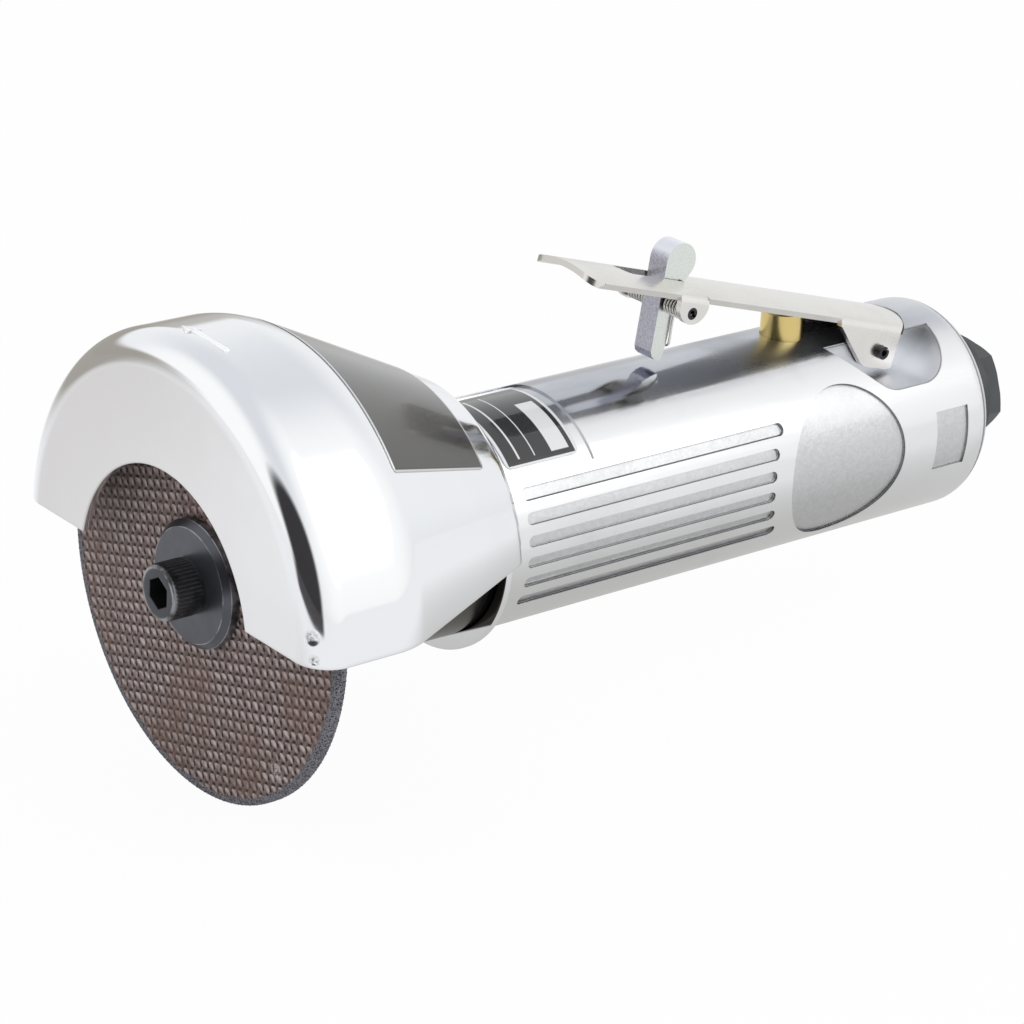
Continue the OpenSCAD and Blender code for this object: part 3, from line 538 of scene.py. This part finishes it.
def body_plate():
    """Black plate with a white border, ruled lines and a bare pale window, laid out by its UVs."""
    material, n, shader, here = new_material("body_plate_print")
    u, v, _ = n.axes(n.node("ShaderNodeUVMap", uv_map="surface").outputs[0])

    def box(u0, u1, v0, v1, soft=0.004):
        return n.times(*(n.times(n.step(value, low - soft, low + soft),
                                 n.step(value, high + soft, high - soft))
                         for value, low, high in ((u, u0, u1), (v, v0, v1))))

    light = n.inverse(box(0.04, 0.96, 0.022, 0.978))
    for printed in ((0.66, 0.9, 0.36, 0.93), (0.2, 0.225, 0.1, 0.93), (0.42, 0.435, 0.1, 0.93)):
        light = n.math("MAXIMUM", light, box(*printed))
    surface(n, shader, n.mix(light, (0.012, 0.012, 0.013), (0.72, 0.73, 0.74)),
            n.step(n.noise(here, 500.0), 0.3, 0.7, 0.09, 0.16),
            n.noise(here, 160.0, 2.0), 2e-5, 0.0, (0.6, 0.04))
    return material


def guard_film():
    """Dark smoky foil with a thin pale line round its edge, laid out by its UVs."""
    material, n, shader, here = new_material("smoky_foil")
    u, v, _ = n.axes(n.node("ShaderNodeUVMap", uv_map="surface").outputs[0])
    edge_u, edge_v = (n.math("MINIMUM", value, n.inverse(value)) for value in (u, v))
    line = n.math("MAXIMUM", n.step(edge_u, 0.017, 0.011), n.step(edge_v, 0.0075, 0.0045))
    surface(n, shader, n.mix(line, (0.075, 0.072, 0.066), (0.7, 0.7, 0.7)),
            n.math("MULTIPLY_ADD", n.noise(here, 90.0), 0.1, 0.16),
            n.noise(here, 220.0, 2.0), 1.5e-5, 0.85, (0.5, 0.06))
    return material


MATERIALS = {
    "casting": housing_aluminium(),
    "chrome": guard_chrome(),
    # painted highlight: the embossed arrow is a white non-metal, standing for the bright reflection
    # on its ridge
    "arrow": plain_skin("raised_arrow_painted_highlight", (0.95, 0.95, 0.96), (0.99, 0.99, 1.0), 0.35, 500.0, 4e-6),
    "wheel": abrasive_mesh(),
    "lever": metal("stamped_steel", (0.74, 0.725, 0.69), 0.25, 0.08, 0.06, 0.1, 3e-6),
    "catch": catch_zinc(),
    "brass": metal("turned_brass", (0.7, 0.55, 0.22), 0.22, 0.15, 0.08, 0.1),
    "oxide": plain_skin("dark_oxide", (0.085, 0.088, 0.1), (0.12, 0.125, 0.14), 0.34, 420.0, 8e-6,
                        0.9),
    "flange": turned_oxide("blued_flange", ((0.00998, 0.00013), (0.01108, 0.0001)),
                           ((0.085, 0.088, 0.1), (0.13, 0.134, 0.15)), (0.36, 0.37, 0.4)),
    "screw": turned_oxide("blued_screw", ((0.0045, 0.0005),),
                          ((0.05, 0.051, 0.056), (0.085, 0.087, 0.095)), (0.34, 0.35, 0.37)),
    "black": plain_skin("black_oxide", (0.03, 0.03, 0.033), (0.055, 0.055, 0.06), 0.36, 700.0,
                        1.5e-5, 0.75),
    "nut": metal("oiled_steel", (0.1, 0.095, 0.085), 0.3),
    "wire": metal("spring_wire", (0.68, 0.66, 0.63), 0.2, 0.08, 0.04, 0.05, 3e-6, 400.0),
    "pin": plain_skin("pin_steel", (0.02, 0.02, 0.022), (0.06, 0.06, 0.065), 0.35, 900.0, 8e-6,
                      0.8),
    "ground": metal("ground_steel", (0.62, 0.62, 0.61), 0.22),
    "iron": metal("machined_iron", (0.42, 0.415, 0.41), 0.36),
    "bearing": metal("bearing_steel", (0.72, 0.72, 0.73), 0.1, 0.06, 0.03, 0.03, 2e-6),
    "rubber": plain_skin("black_rubber", (0.02, 0.02, 0.02), (0.035, 0.034, 0.033), 0.62, 500.0),
    "collar": plain_skin("dark_collar", (0.055, 0.06, 0.062), (0.08, 0.085, 0.088), 0.42, 350.0,
                         1e-5, 0.6),
    "gasket": plain_skin("gasket_fibre", (0.16, 0.19, 0.14), (0.23, 0.26, 0.2), 0.8, 900.0, 2e-5),
    "resin": plain_skin("blade_resin", (0.26, 0.14, 0.07), (0.34, 0.2, 0.11), 0.55, 700.0, 2e-5),
    "felt": plain_skin("muffler_felt", (0.5, 0.48, 0.43), (0.62, 0.6, 0.55), 0.9, 1800.0, 1.5e-4),
    "plate": body_plate(),
    "foil": guard_film(),
}

DRESS = {
    "casting": ("motor_housing",),
    "nut": ("clamp_nut",),
    "black": ("lock_washer",),
    "iron": ("front_end_plate", "rear_end_plate"),
    "ground": ("motor_cylinder", "alignment_pins", "rotor", "valve_plug", "inlet_strainer"),
    "gasket": ("motor_gasket",),
    "resin": ("rotor_blades",),
    "bearing": [f"{end}_bearing_{part}" for end in ("front", "rear")
                for part in ("outer_ring", "inner_ring", "balls", "cage")],
    "oxide": ("inner_flange",),
    "flange": ("outer_flange",),
    "lever": ("throttle_lever",),
    "pin": ("lever_pin", "catch_pin"),
    "catch": ("lock_off_catch",),
    "brass": ("valve_stem",),
    "rubber": ("valve_stem_o_ring", "valve_washer", "valve_plug_o_ring", "inlet_o_ring"),
    "collar": ("inlet_bushing", "exhaust_deflector"),
    "felt": ("muffler_ring",),
}
for finish_name, node_names in DRESS.items():
    for node_name in node_names:
        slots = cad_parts[node_name].data.materials
        slots.clear()
        slots.append(MATERIALS[finish_name])


# guard: radii, and stations along the axis, in millimetres

GUARD_R = 43.5
LIP_R, LIP_POINTS = 37.2, 26
BAND_END, SHOULDER_R = 8.0, 14.0
CONE_DEGREES = 25.6
CONE = math.radians(CONE_DEGREES)
CONE_START = BAND_END + SHOULDER_R * math.sin(CONE)
CONE_START_R = GUARD_R - SHOULDER_R * (1 - math.cos(CONE))
RING_BACK = 48.5
# the guard ends this far above the axis
GUARD_CUT = 2.2


def cone_radius(station):
    """Radius of the guard's cone at a station."""
    return CONE_START_R - (station - CONE_START) * math.tan(CONE)


def guard_profile():
    """Outer section of the guard, as radius and station, from the lip's arch to the ring's bore.

    It is the flat lip, the round edge, the band, the shoulder, the cone, and the neck that bends
    into the clamped ring.
    """
    def flat(radius0, radius1, station, count):
        return np.stack([np.linspace(radius0, radius1, count), np.full(count, station)], -1)

    def arc(radius, station, size, start, end, count):
        """Points of a circle about a radius and station, between two angles in degrees."""
        t = np.radians(np.linspace(start, end, count))
        return np.stack([radius + size * np.cos(t), station + size * np.sin(t)], -1)

    front, edge, bend = -8.0, 6.0, 5.0
    reach = bend * math.tan(math.radians((90 - CONE_DEGREES) / 2))
    neck = arc(cone_radius(RING_BACK) - reach, RING_BACK - bend, bend, CONE_DEGREES, 90, 14)
    return np.concatenate([
        flat(20, LIP_R, front, LIP_POINTS),
        arc(GUARD_R - edge, front + edge, edge, 270, 360, 26),
        np.stack([np.full(12, GUARD_R), np.linspace(-1.5, BAND_END - 0.5, 12)], -1),
        arc(GUARD_R - SHOULDER_R, BAND_END, SHOULDER_R, 0, CONE_DEGREES, 14),
        np.linspace((CONE_START_R, CONE_START), neck[0], 34)[1:-1],
        neck,
        flat(neck[-1][0] - 0.2, 17.2, RING_BACK, 8),
    ])


def guard_shell():
    """The profile carried over the top half of a turn, down to the cut, less the lip's arch.

    A point at radius r starts at the angle whose height is the cut's. On the lip the radius runs
    from the arch, a circle about a point below the axis. Angle and radius depend on each other
    there, so both are worked out again until they agree.
    """
    columns = 161
    radius, station = (np.repeat(column[:, None], columns, 1) for column in guard_profile().T)
    arch_r, arch_drop = 24.2, 2.8
    t = np.linspace(0, 1, columns)[None, :]
    lip = slice(0, LIP_POINTS)
    share = np.linspace(0, 1, LIP_POINTS)[:, None]
    for _ in range(12):
        low = np.arcsin(np.clip(GUARD_CUT / radius, -1, 1))
        angle = low + t * (np.pi - 2 * low)
        aside, above = arch_drop * np.cos(angle[lip]), arch_drop * np.sin(angle[lip])
        inner = np.sqrt(arch_r ** 2 - aside ** 2) - above
        radius[lip] = inner + share * (LIP_R - inner)
    points = around(station, radius, angle)
    shell = mesh_piece("guard_shell", place(points), grid_faces(*points.shape[:2]), "guard",
                       ("guard",), "chrome", 0)
    wall = shell.modifiers.new("wall", "SOLIDIFY")
    wall.thickness, wall.offset, wall.use_even_offset = 0.0016, -1, True
    edge = shell.modifiers.new("edge", "BEVEL")
    edge.width, edge.segments = 0.00045, 3
    edge.limit_method, edge.angle_limit = "ANGLE", math.radians(50)


def guard_ring():
    """The clamped ring below the cut: a rounded section carried from one side to the other.

    Its ends reach a little way into the shell.
    """
    sides = 120
    bore, outside, front, back = 17.1, 22.35, 46.92, 48.48
    section = rounded([[bore, front], [outside, front], [outside, back], [bore, back]], 0.35, 3)
    count = len(section)
    low = np.arcsin(GUARD_CUT / outside)
    angle = np.linspace(np.pi - low - 0.01, 2 * np.pi + low + 0.01, sides)
    faces = grid_faces(count, sides, True, False).tolist()
    faces.append([k * sides for k in range(count)][::-1])
    faces.append([k * sides + sides - 1 for k in range(count)])
    mesh_piece("guard_ring", place(around(section[:, 1:], section[:, :1], angle)), faces,
               "guard", (), "chrome")


def turning_arrow():
    """A raised arrow on the band, its outline drawn in on radii that grow to a rounded crown.

    The outline is given across and along the band, about the band's middle and the top of the
    guard. A length along it is wrapped to an angle. crown gives each ring's height over the band
    and the share of the width that it keeps.
    """
    outline = rounded([[-0.62, 6.4], [0.62, 6.4], [0.62, -3.2], [1.9, -2.8], [0, -6.6],
                       [-1.9, -2.8], [-0.62, -3.2]], 0.3, 3)
    middle, forwards = -0.95, 0.6
    angle = np.pi / 2 + (outline[:, 1] + forwards) / GUARD_R
    crown = ((-0.05, 1.0), (0.1, 0.97), (0.2, 0.85), (0.24, 0.6), (0.25, 0.02))
    rings = [around(outline[:, 0] * share + middle, GUARD_R + height, angle)
             for height, share in crown]
    arrow = mesh_piece("turning_arrow", place(np.concatenate(rings)),
                       grid_faces(len(rings), len(outline), False, True), "guard", (), "arrow", 60)


# wheel, screw and labels


def wheel_disc():
    """Turned disc whose rim wanders by grit size: sines of the angle are added to its radius."""
    sides, grit = 1440, 0.03
    bore, rim, thick = 4.76, 38.08, 2
    profile = rounded([[bore, 0], [rim, 0], [rim, thick], [bore, thick]], 0.25, 3)
    radius, station = profile[:, :1], profile[:, 1:]
    t = full_turn(sides)
    rough = np.sin(211 * t) + np.sin(307 * t + station * 5) + np.sin(431 * t + station * 9)
    radius = radius + np.where(radius > rim - 1, (rough - 3) * grit, 0)
    mesh_piece("abrasive_wheel", place(around(station, radius, t)),
               grid_faces(len(profile), sides, True, True), "spindle", ("cutting_wheel",), "wheel",
               50)


def socket_screw():
    """Turned head with a knurled barrel and a hexagon pit, and its shank.

    The hexagon's radius is its half width over the cosine of the angle from the nearest flat's
    middle. The knurl adds a cosine of 42 times the angle, cut off at 0.3, to the barrel's radius.
    """
    sides = 336
    t = full_turn(sides)
    pit = 2.5 / np.cos((t + np.pi / 6) % (np.pi / 3) - np.pi / 6)
    barrel = 4.9 + 0.1 * np.minimum(np.cos(42 * t), 0.3)
    # radius and station, from the pit's bottom over the face and down the barrel to the shank
    rows = ((0.02 * pit, -4.6), (0.4 * pit, -4.7), (pit, -4.9), (pit, -8.45), (pit + 0.15, -8.58),
            (3.6, -8.6), (4.35, -8.58), (4.6, -8.5), (4.78, -8.3), (4.86, -7.9), (barrel, -7.6),
            (barrel, -3.4), (4.86, -3.0), (4.8, -2.64), (2.98, -2.63), (2.98, 20.0), (0.02, 20.0))
    points = np.stack([around(station, radius, t) for radius, station in rows])
    mesh_piece("socket_screw", place(points), grid_faces(len(rows), sides, False, True), "spindle",
               ("wheel_screw",), "screw", 35)


def wrapped_label(name, stand_in, finish, body, stations, radii, degrees, corner):
    """A thin sheet on a cone or cylinder: station by angle, with rounded corners and its own UVs.

    Rows run across the label, and near its ends the corner's circle draws in each row's angles.
    """
    u = np.concatenate([np.linspace(0, 0.06, 9)[:-1], np.linspace(0.06, 0.94, 25),
                        np.linspace(0.94, 1, 9)[1:]])
    v = np.linspace(0, 1, 81)
    length = stations[1] - stations[0]
    past = np.maximum(corner - np.minimum(u, 1 - u) * length, 0)
    radius = radii[0] + (radii[1] - radii[0]) * u
    draw = (corner - np.sqrt(corner ** 2 - past ** 2)) / radius
    start, end = np.radians(degrees)
    low, high = start + draw, end - draw
    angle = low[:, None] + (high - low)[:, None] * v[None, :]
    points = around((stations[0] + length * u)[:, None], radius[:, None], angle)
    uv = np.stack(np.broadcast_arrays(u[:, None], (angle - start) / (end - start)), -1)
    label = mesh_piece(name, place(points), grid_faces(len(u), len(v)), body, (stand_in,), finish,
                       0, uv)
    wall = label.modifiers.new("wall", "SOLIDIFY")
    wall.thickness, wall.offset = 0.00012, -1


# springs


def catch_spring():
    """The double torsion spring in two pieces: wires along paths in the lever's own frame.

    Curls, which are helices, and arms stay with the lever. Legs and bridge turn with the catch.
    """
    wire, curl, turns = 0.23, 1.55, 6.25
    near, far = 2.65, 7.2
    a = np.linspace(0, turns * 2 * np.pi, 230)
    coil = np.stack([curl * np.cos(a), near + (far - near) * a / a[-1], curl * np.sin(a)], -1)
    arm = smooth_path([coil[-1], [-1.4, far, 1.75], [-3.2, far, 1.95], [-5.4, far, 1.95]], 24)
    half = np.concatenate([coil, arm[1:]])
    verts, faces = [], []
    for side in (-1, 1):
        points, quads = tube(from_lever(half * [1, side, 1] + CATCH_PIN), wire)
        faces += [[k + len(verts) for k in quad] for quad in quads]
        verts += list(points)
    mesh_piece("catch_spring_curls", place(verts), faces, "lever", ("catch_spring",), "wire", 0)
    leg = np.array([[1.55, near, 0.0], [1.6, near, -0.6], [2.0, near, -3.9],
                    [2.55, near - 0.05, -6.9], [2.6, 2.2, -7.55], [2.6, 1.4, -7.62],
                    [2.6, 0, -7.62]])
    path = np.concatenate([leg, leg[-2::-1] * [1, -1, 1]]) + CATCH_PIN
    verts, faces = tube(from_lever(smooth_path(path, 90)), wire)
    mesh_piece("catch_spring_legs", place(verts), faces, "catch", (), "wire", 0)


def valve_spring():
    """The valve's spring as a smooth round wire: a helix from its lower seat up to the disc.
    """
    station, coil, wire = 128.8, 3.2, 0.4
    low, high = -11.1, 2.55
    a = np.linspace(0, 12 * np.pi, 360)
    path = np.stack([station + coil * np.cos(a), coil * np.sin(a),
                     low + (high - low) * a / a[-1]], -1)
    verts, faces = tube(path, wire)
    spring = mesh_piece("valve_spring_wire", place(verts), faces, None, ("valve_spring",), "wire",
                        0)
    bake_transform(spring)


guard_shell()
guard_ring()
turning_arrow()
wheel_disc()
socket_screw()
FOIL_ENDS = (14.6, 40.6)
wrapped_label("guard_foil", "guard_label", "foil", "guard", FOIL_ENDS,
              [cone_radius(station) + 0.2 for station in FOIL_ENDS], (41, 139), 0.8)
wrapped_label("body_plate", "nameplate", "plate", "housing", (52.4, 68.4), (20.0, 20.0),
              (76, 136), 1.3)
catch_spring()
valve_spring()


# light, floor and camera

FLOOR_Z = -0.0384


def seen_as_is(n):
    """The light path's outputs, and one where the camera or a mirror looks, nothing elsewhere."""
    path = n.node("ShaderNodeLightPath").outputs
    mirrored = n.math("MAXIMUM", path["Is Glossy Ray"], path["Is Transmission Ray"])
    return path, n.math("MAXIMUM", path["Is Camera Ray"], mirrored)


def studio_tent():
    """White tent as the world: soft white walls with one dark side behind the camera.

    Metal sees the walls as they are, all else is lit by one even level, and the camera sees white.
    """
    world = bpy.data.worlds.new("studio")
    bpy.context.scene.world = world
    world.use_nodes = True
    n = Nodes(world.node_tree)
    back = n.tree.nodes["Background"]
    way = n.node("ShaderNodeTexCoord").outputs["Generated"]
    height = n.axes(way)[2]
    path, shown = seen_as_is(n)

    def patch(direction, inner, outer):
        """One within the inner angle of a direction, nothing past the outer angle, in degrees."""
        cosine = n.dot(way, Vector(direction).normalized())
        return n.step(cosine, math.cos(math.radians(outer)), math.cos(math.radians(inner)))

    walls = n.mix(n.step(height, 0.3, 0.85), (0.97, 0.98, 0.99), (0.8, 0.815, 0.85))
    walls = n.mix(n.step(height, 0.12, -0.3), walls, (0.72, 0.73, 0.74))
    walls = n.mix(patch((0.35, -0.75, 0.62), 18, 62), walls, (1.12, 1.12, 1.12))
    walls = n.mix(patch((-0.8, 0.5, 0.35), 12, 42), walls, (1.1, 1.1, 1.1))
    far_side = n.times(patch((-0.05, 0.98, 0), 26, 50), n.step(height, 0.2, 0.1))
    walls = n.mix(far_side, walls, (0.4, 0.375, 0.34))
    walls = n.mix(patch((-0.89, -0.42, 0.16), 24, 34), walls, (0.045, 0.042, 0.045))
    seen = n.mix(path["Is Camera Ray"], walls, (1, 1, 1))
    n.put(n.mix(shown, (0.86, 0.865, 0.88), seen), back.inputs["Color"])
    back.inputs["Strength"].default_value = 1.0


def key_lamp():
    """A large soft lamp above, on the camera's right."""
    data = bpy.data.lights.new("key", "AREA")
    data.shape, data.size, data.energy = "DISK", 0.9, 2.4
    lamp = bpy.data.objects.new("key", data)
    bpy.context.scene.collection.objects.link(lamp)
    spot, aim = Vector((0.15, -0.65, 0.58)), Vector((-0.09, 0, 0))
    turn = (aim - spot).to_track_quat("-Z", "Y").to_matrix().to_4x4()
    lamp.matrix_world = Matrix.Translation(spot) @ turn


def studio_floor():
    """A pale floor that metal sees with the tent's sides in it, and that the camera sees white."""
    mesh = bpy.data.meshes.new("floor")
    corners = np.array([[-1, -1, 0], [1, -1, 0], [1, 1, 0], [-1, 1, 0]]) * 3.0
    mesh.from_pydata((corners + [-0.1, 0, FLOOR_Z]).tolist(), [], [[0, 1, 2, 3]])
    floor = bpy.data.objects.new("floor", mesh)
    bpy.context.scene.collection.objects.link(floor)
    material, n, shader, here = new_material("studio_floor")
    n.tree.nodes.remove(shader)
    path, shown = seen_as_is(n)
    # painted shade: near the object the floor is darker, standing for its shade, which is what the
    # metal's underside shows
    away = n.vector("LENGTH", n.stretch(here, (0.5, 1, 1), (0.045, 0, -FLOOR_Z)))["Value"]
    shade = n.mix(n.step(away, 0.0, 0.15), (0.57, 0.565, 0.55), (0.96, 0.965, 0.98))
    sight = n.vector("NORMALIZE", n.stretch(here, (1, 1, 0), (0.1, 0, 0)))[0]
    far_side = n.times(n.step(n.dot(sight, (-0.05, 0.998, 0)), 0.62, 0.9),
                       n.step(n.axes(here)[1], 0.15, 0.38))
    shade = n.mix(far_side, shade, (0.4, 0.375, 0.34))
    front, forwards = n.stretch(here, (1, 1, 0), (0.185, 0.02, 0)), (-0.905, -0.425, 0)
    sight = n.vector("NORMALIZE", front)[0]
    dark_side = n.times(n.step(n.dot(sight, forwards), 0.84, 0.91),
                        n.step(n.dot(front, forwards), 0.27, 0.36))
    shade = n.mix(dark_side, shade, (0.05, 0.046, 0.048))
    lit = n.node("ShaderNodeBsdfDiffuse", {"Color": (0.85, 0.85, 0.85, 1)}).outputs[0]
    glow = n.mix(path["Is Glossy Ray"], (1, 1, 1), shade)
    white = n.node("ShaderNodeEmission", {"Color": glow, "Strength": 1.0}).outputs[0]
    blend = n.node("ShaderNodeMixShader", {0: n.times(shown, 0.96), 1: lit, 2: white}).outputs[0]
    n.put(blend, n.tree.nodes["Material Output"].inputs["Surface"])
    mesh.materials.append(material)


def camera():
    """The photograph's viewpoint, solved from the wheel's and the body's outlines."""
    data = bpy.data.cameras.new("photo_view")
    data.lens, data.sensor_width = 123.6, 36
    data.clip_start, data.clip_end = 0.05, 20
    right, up = (0.7758, -0.6285, 0.0562), (0.2021, 0.3319, 0.9214)
    back = (-0.5978, -0.7034, 0.3845)
    turn = Matrix([right, up, back]).transposed().to_4x4()
    thing = bpy.data.objects.new("photo_view", data)
    bpy.context.scene.collection.objects.link(thing)
    thing.matrix_world = Matrix.Translation((-0.4834, -0.4364, 0.2366)) @ turn
    bpy.context.scene.camera = thing


studio_tent()
key_lamp()
studio_floor()
camera()
bpy.context.scene.view_settings.view_transform = "Standard"
